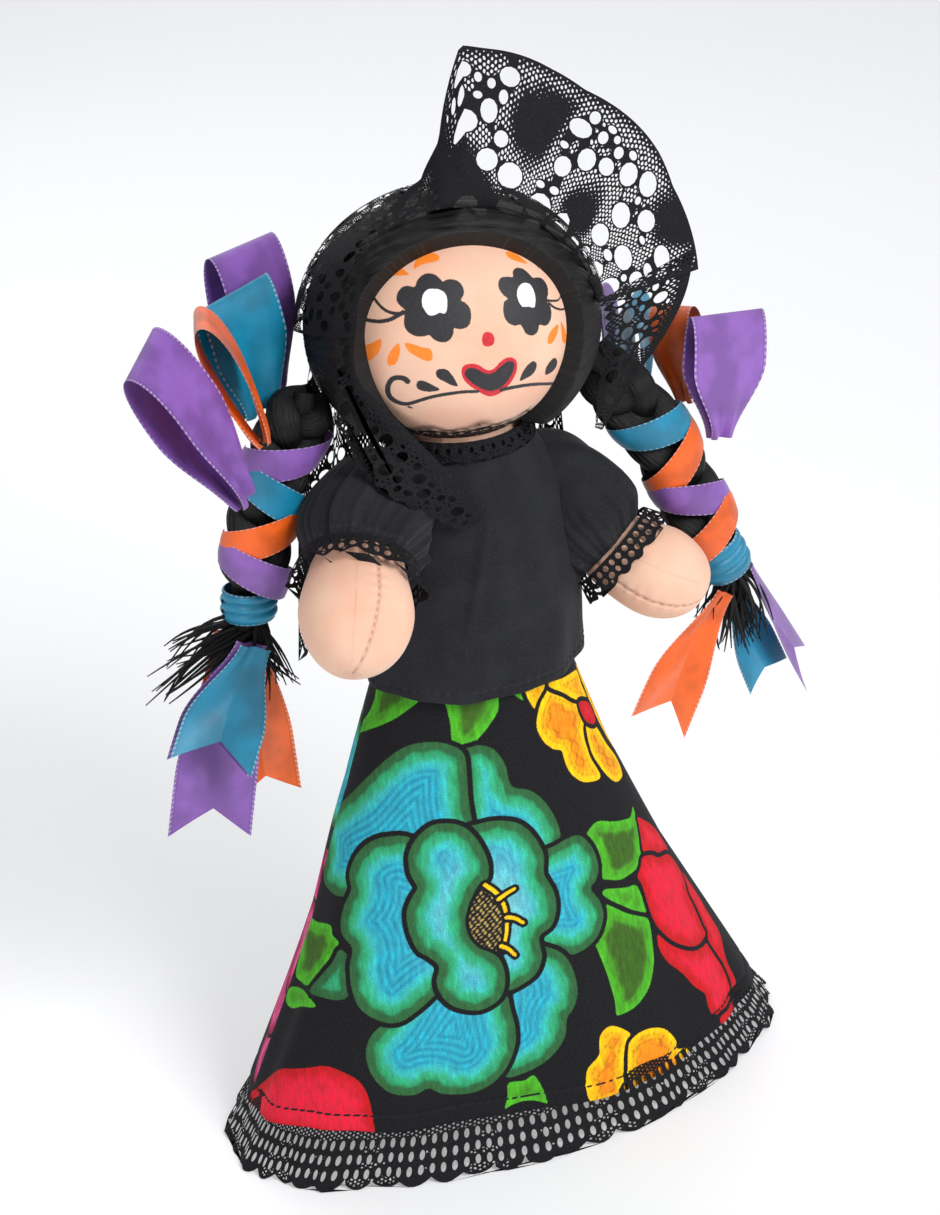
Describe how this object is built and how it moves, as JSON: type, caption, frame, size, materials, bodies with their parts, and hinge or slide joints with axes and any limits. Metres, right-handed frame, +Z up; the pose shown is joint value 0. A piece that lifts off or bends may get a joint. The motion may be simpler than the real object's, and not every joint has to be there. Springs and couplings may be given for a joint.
{
  "type": "stuffed cloth doll in day-of-the-dead dress",
  "caption": "Standing rag doll with painted skull face, standing lace veil, plaits wound with satin ribbons, black blouse and long flared flower-print skirt edged with lace.",
  "frame": {"origin": "middle of the bounding box in X and Y, on the ground under the lace tips of the skirt", "axes": "+Z up through the head, the doll faces -Y, its right hand is at -X"},
  "size_m": [0.2146, 0.1, 0.3264],
  "materials": {
    "skin_cloth": "matt plain-woven cotton, stuffed",
    "hair_thread": "combed black acrylic thread, slight sheen",
    "black_cotton": "matt plain-woven cotton",
    "black_lace": "machine-made net lace, matt",
    "printed_cotton": "cotton printed with large flowers on black",
    "purple_satin": "glossy satin ribbon",
    "turquoise_satin": "glossy satin ribbon",
    "orange_satin": "glossy satin ribbon"
  },
  "bodies": {
    "root": {"head": "skin_cloth", "hair": "hair_thread", "torso": "skin_cloth", "arm_right": "skin_cloth", "arm_left": "skin_cloth", "blouse": "black_cotton", "skirt": "printed_cotton", "skirt_lace": "black_lace", "neck_lace": "black_lace", "neck_band": "black_lace", "cuff_lace_right": "black_lace", "cuff_lace_left": "black_lace", "plait_right": "hair_thread", "plait_left": "hair_thread", "ribbon_band_purple_upper_right": "purple_satin", "ribbon_band_turquoise_right": "turquoise_satin", "ribbon_band_orange_right": "orange_satin", "ribbon_band_purple_lower_right": "purple_satin", "ribbon_loop_purple_front_right": "purple_satin", "ribbon_loop_orange_right": "orange_satin", "ribbon_loop_turquoise_right": "turquoise_satin", "ribbon_loop_purple_back_right": "purple_satin", "ribbon_tail_turquoise_right": "turquoise_satin", "ribbon_tail_purple_short_right": "purple_satin", "ribbon_tail_purple_long_right": "purple_satin", "ribbon_tail_orange_short_right": "orange_satin", "ribbon_tail_orange_long_right": "orange_satin", "ribbon_tie_right": "turquoise_satin", "ribbon_band_turquoise_left": "turquoise_satin", "ribbon_band_orange_upper_left": "orange_satin", "ribbon_band_purple_left": "purple_satin", "ribbon_band_orange_lower_left": "orange_satin", "ribbon_loop_purple_front_left": "purple_satin", "ribbon_loop_orange_left": "orange_satin", "ribbon_loop_turquoise_left": "turquoise_satin", "ribbon_loop_purple_back_left": "purple_satin", "ribbon_tail_orange_left": "orange_satin", "ribbon_tail_turquoise_left": "turquoise_satin", "ribbon_tail_purple_left": "purple_satin", "ribbon_tie_left": "turquoise_satin", "veil": "black_lace"}
  },
  "joints": []
}
